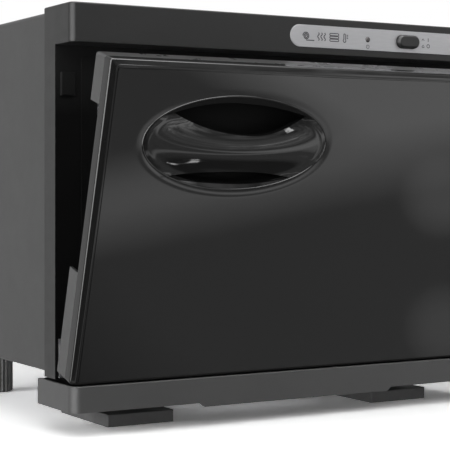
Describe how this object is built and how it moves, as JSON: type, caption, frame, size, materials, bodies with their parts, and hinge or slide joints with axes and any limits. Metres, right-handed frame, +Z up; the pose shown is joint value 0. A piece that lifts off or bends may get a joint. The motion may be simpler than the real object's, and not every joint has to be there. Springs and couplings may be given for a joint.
{
  "type": "hot towel cabinet",
  "caption": "Front-opening countertop electric hot towel cabinet with bottom-hinged door, oval pull, control plate, wire racks and drip tray.",
  "frame": {"origin": "centre of the footprint's bounding box on the floor, door ajar", "axes": "+X to the right seen from the front, +Y to the back, +Z up"},
  "size_m": [0.45, 0.3976, 0.3625],
  "materials": {
    "frame_plastic": "satin moulded",
    "plate_silver": "satin lacquered",
    "lens_plastic": "tinted lens",
    "button_plastic": "satin moulded",
    "white_nylon": "natural nylon",
    "black_plastic": "moulded",
    "circuit_board": "solder mask",
    "component_plastic": "moulded",
    "wrap_paint": "fine powder coat",
    "galvanised_steel": "zinc plated",
    "screw_steel": "zinc plated",
    "brass": "bare",
    "liner_aluminium": "mill finish",
    "glass_wool": "fibrous",
    "heater_foil": "foil",
    "thermostat_metal": "pressed",
    "foot_rubber": "moulded rubber",
    "lead_rubber": "smooth",
    "door_gloss": "high gloss",
    "door_satin": "satin moulded",
    "pull_gloss": "high gloss",
    "gasket_rubber": "silicone",
    "tray_plastic": "satin moulded",
    "rack_chrome": "bright plated"
  },
  "bodies": {
    "cabinet": {"front_frame": "frame_plastic", "control_plate": "plate_silver", "power_lens": "lens_plastic", "switch_module": "black_plastic", "control_board": "circuit_board", "board_components": "component_plastic", "board_screws": "screw_steel", "outer_wrap": "wrap_paint", "bottom_pan": "galvanised_steel", "rear_panel": "galvanised_steel", "rear_panel_screws": "screw_steel", "power_inlet": "black_plastic", "inlet_pins": "brass", "inlet_screws": "screw_steel", "liner_wrap": "liner_aluminium", "liner_back": "liner_aluminium", "insulation_left": "glass_wool", "insulation_right": "glass_wool", "insulation_top": "glass_wool", "insulation_bottom": "glass_wool", "insulation_back": "glass_wool", "heater_pad": "heater_foil", "thermostat": "thermostat_metal", "thermal_fuse": "thermostat_metal", "rail_lower_right": "liner_aluminium", "rail_lower_left": "liner_aluminium", "rail_upper_right": "liner_aluminium", "rail_upper_left": "liner_aluminium", "rail_rivets": "screw_steel", "hinge_bracket_right": "galvanised_steel", "hinge_bracket_left": "galvanised_steel", "hinge_pins": "screw_steel", "hinge_washers": "white_nylon", "hinge_screws": "screw_steel", "magnet_catches": "black_plastic", "front_foot_right": "foot_rubber", "front_foot_left": "foot_rubber", "rear_foot_right": "foot_rubber", "rear_foot_left": "foot_rubber", "tray_runner_right": "black_plastic", "tray_runner_left": "black_plastic", "foot_screws": "screw_steel", "internal_leads": "lead_rubber", "frame_screws": "screw_steel"},
    "door": {"door_front_shell": "door_gloss", "door_rear_shell": "door_satin", "door_inner_panel": "liner_aluminium", "door_insulation": "glass_wool", "door_gasket": "gasket_rubber", "handle_cup": "pull_gloss", "strike_plates": "galvanised_steel", "hinge_blocks": "white_nylon", "door_screws": "screw_steel"},
    "power_button": {"power_button": "button_plastic", "switch_plunger": "white_nylon"},
    "drip_tray": {"drip_tray": "tray_plastic"},
    "upper_rack": {"upper_rack": "rack_chrome"},
    "lower_rack": {"lower_rack": "rack_chrome"}
  },
  "joints": [
    {"name": "door_hinge", "type": "hinge", "parent": "cabinet", "child": "door", "pos_m": [0, -0.1193, 0.0505], "axis": [1, 0, 0], "range_deg": [-16.3, 73.7]},
    {"name": "power_button_press", "type": "slide", "parent": "cabinet", "child": "power_button", "axis": [0, 1, 0], "range_m": [0, 0.003], "stiffness_N_per_m": 600, "springref_m": -0.002},
    {"name": "drip_tray_slide", "type": "slide", "parent": "cabinet", "child": "drip_tray", "axis": [0, -1, 0], "range_m": [0, 0.06]},
    {"name": "upper_rack_slide", "type": "slide", "parent": "cabinet", "child": "upper_rack", "axis": [0, -1, 0], "range_m": [0, 0.045]},
    {"name": "lower_rack_slide", "type": "slide", "parent": "cabinet", "child": "lower_rack", "axis": [0, -1, 0], "range_m": [0, 0.045]}
  ]
}
